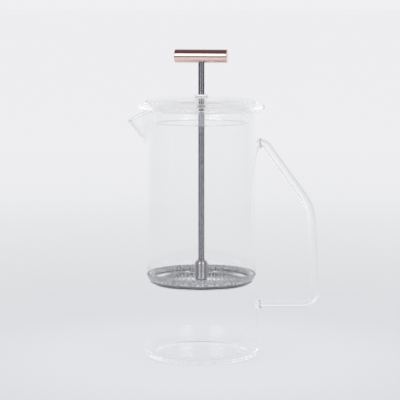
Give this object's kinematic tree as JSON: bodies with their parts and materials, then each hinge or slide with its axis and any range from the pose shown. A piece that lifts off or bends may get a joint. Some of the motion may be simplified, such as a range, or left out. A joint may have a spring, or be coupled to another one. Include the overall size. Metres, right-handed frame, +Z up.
{
  "type": "french press",
  "caption": "Glass cylinder coffee press with a pulled spout, a bent glass rod handle, a glass lid and a steel plunger with a copper cross-bar and a spring-rimmed mesh filter.",
  "frame": {"origin": "centre of the beaker's foot, on the surface that it stands on", "axes": "+Z up along the beaker's and the plunger's axis, +X towards the handle, -X towards the spout, +Y across"},
  "size_m": [0.1584, 0.104, 0.2536],
  "materials": {
    "glass": "clear, fire-polished",
    "silicone": "clear, soft, satin",
    "rod_steel": "drawn, smooth, fine lengthwise grain",
    "polished_steel": "polished",
    "spring_wire": "bright drawn wire",
    "steel_mesh": "fine woven wire, satin",
    "copper": "polished rose copper"
  },
  "bodies": {
    "vessel": {"beaker": "glass", "handle": "glass"},
    "lid": {"lid": "glass", "lid_bushing": "silicone"},
    "plunger": {"plunger_rod": "rod_steel"},
    "grip": {"grip_bar": "copper"},
    "filter": {"hub": "polished_steel", "spiral_plate": "polished_steel", "rim_spring": "spring_wire", "mesh_screen": "steel_mesh", "screen_eyelet": "polished_steel", "cross_plate": "polished_steel", "cross_plate_bush": "polished_steel"}
  },
  "joints": [
    {"name": "lid_lift", "type": "slide", "parent": "vessel", "child": "lid", "axis": [0, 0, 1], "range_m": [0, 0.22]},
    {"name": "plunger_press", "type": "slide", "parent": "lid", "child": "plunger", "axis": [0, 0, 1], "range_m": [-0.0254, 0.1225]},
    {"name": "grip_turn", "type": "hinge", "parent": "plunger", "child": "grip", "pos_m": [0, 0, 0.248], "axis": [0, 0, 1], "continuous": true},
    {"name": "filter_turn", "type": "hinge", "parent": "plunger", "child": "filter", "pos_m": [0, 0, 0.065], "axis": [0, 0, 1], "continuous": true}
  ],
  "couplings": [
    {"joint": "grip_turn", "follows": "filter_turn", "ratio": 1}
  ]
}
